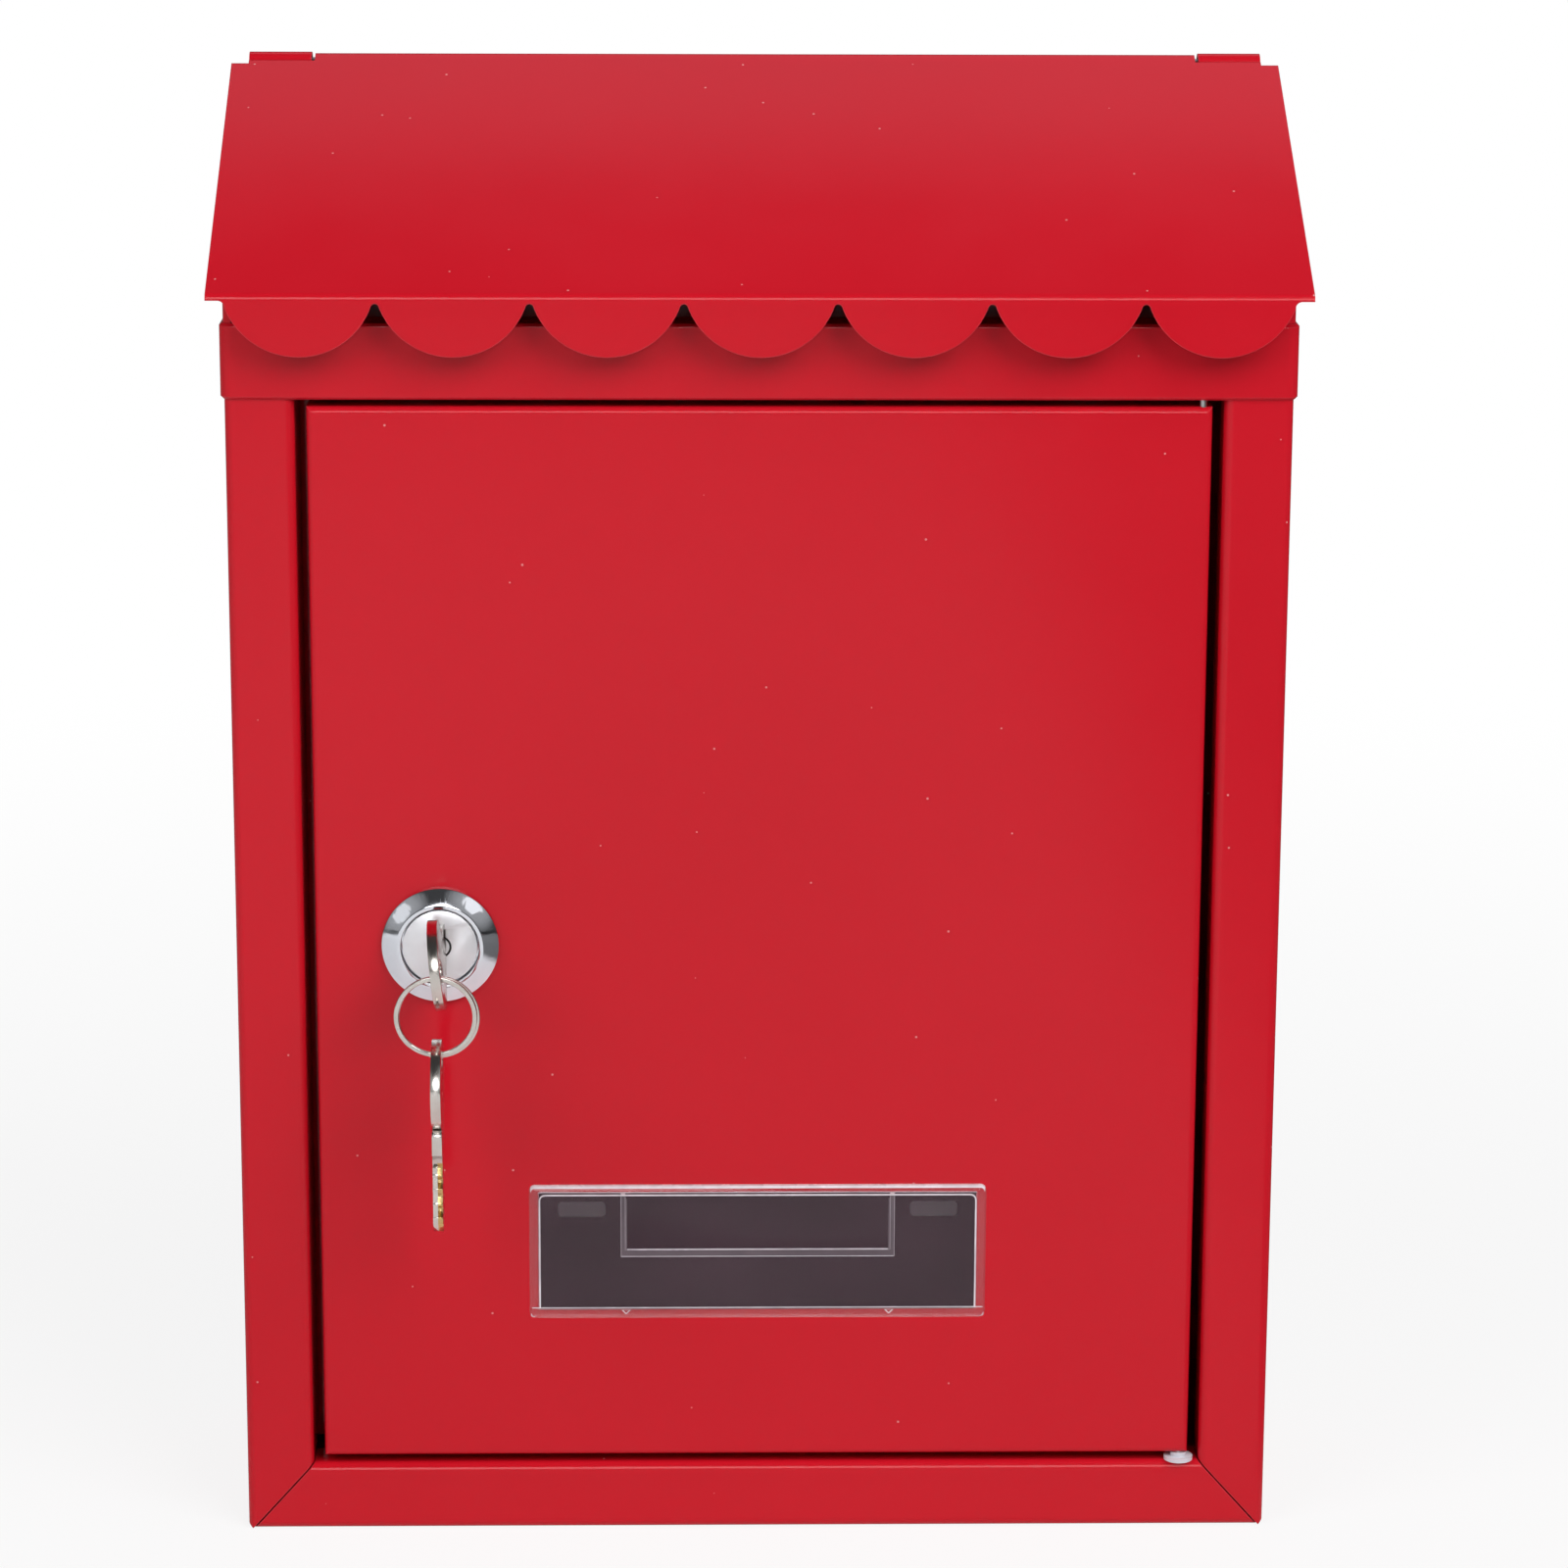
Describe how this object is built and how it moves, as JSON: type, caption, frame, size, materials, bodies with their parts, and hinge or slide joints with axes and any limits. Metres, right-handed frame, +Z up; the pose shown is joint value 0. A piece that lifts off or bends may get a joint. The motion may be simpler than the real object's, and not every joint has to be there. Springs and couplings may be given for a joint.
{
  "type": "wall mounted post box",
  "caption": "Red sheet steel wall post box with a sloping hinged lid, scalloped rain apron, lockable front door with keys and a name window.",
  "frame": {"origin": "middle of the underside of the base", "axes": "+X right and +Y back towards the wall, seen from the front, +Z up"},
  "size_m": [0.215, 0.1012, 0.2962],
  "materials": {
    "red_coat": "glossy powder coat",
    "zinc_wire": "zinc plated",
    "zinc_steel": "zinc plated",
    "white_nylon": "moulded",
    "chrome": "polished",
    "satin_plug": "satin",
    "brass_wafer": "stamped",
    "nickel_key": "nickel plated brass",
    "clear_plastic": "clear",
    "card": "plain"
  },
  "bodies": {
    "root": {"body_shell": "red_coat", "bottom_tray": "red_coat", "header_band": "red_coat", "lid_hinge_rod": "zinc_wire", "door_pin_lower": "zinc_wire", "door_pin_upper": "zinc_wire", "hinge_washer": "white_nylon"},
    "lid": {"roof_lid": "red_coat"},
    "door": {"door": "red_coat", "lock_body": "chrome", "lock_nut": "zinc_steel", "name_cover": "clear_plastic", "name_card": "card"},
    "plug": {"lock_plug": "satin_plug", "lock_wafer_1": "brass_wafer", "lock_wafer_2": "brass_wafer", "lock_wafer_3": "brass_wafer", "lock_wafer_4": "brass_wafer", "lock_cam": "zinc_steel", "cam_washer": "zinc_steel", "cam_screw": "zinc_steel"},
    "key": {"key": "nickel_key"},
    "ring": {"key_ring": "chrome"},
    "spare": {"spare_key": "nickel_key"}
  },
  "joints": [
    {"name": "lid_hinge", "type": "hinge", "parent": "root", "child": "lid", "pos_m": [0, 0.0335, 0.29372], "axis": [-1, 0, 0], "range_deg": [0, 112]},
    {"name": "door_hinge", "type": "hinge", "parent": "root", "child": "door", "pos_m": [0.08705, -0.0344, 0.1252], "axis": [0, 0, 1], "range_deg": [0, 120]},
    {"name": "lock_turn", "type": "hinge", "parent": "door", "child": "plug", "pos_m": [-0.0638, -0.0382, 0.1252], "axis": [0, 1, 0], "range_deg": [0, 90]},
    {"name": "key_pull", "type": "slide", "parent": "plug", "child": "key", "axis": [0, -1, 0], "range_m": [0, 0.0175]},
    {"name": "ring_swing", "type": "hinge", "parent": "key", "child": "ring", "pos_m": [-0.0638, -0.0562, 0.1252], "axis": [1, 0, 0], "range_deg": [-60, 8]},
    {"name": "spare_swing", "type": "hinge", "parent": "ring", "child": "spare", "pos_m": [-0.0638, -0.0562, 0.1067], "axis": [1, 0, 0], "range_deg": [-50, 8]}
  ]
}
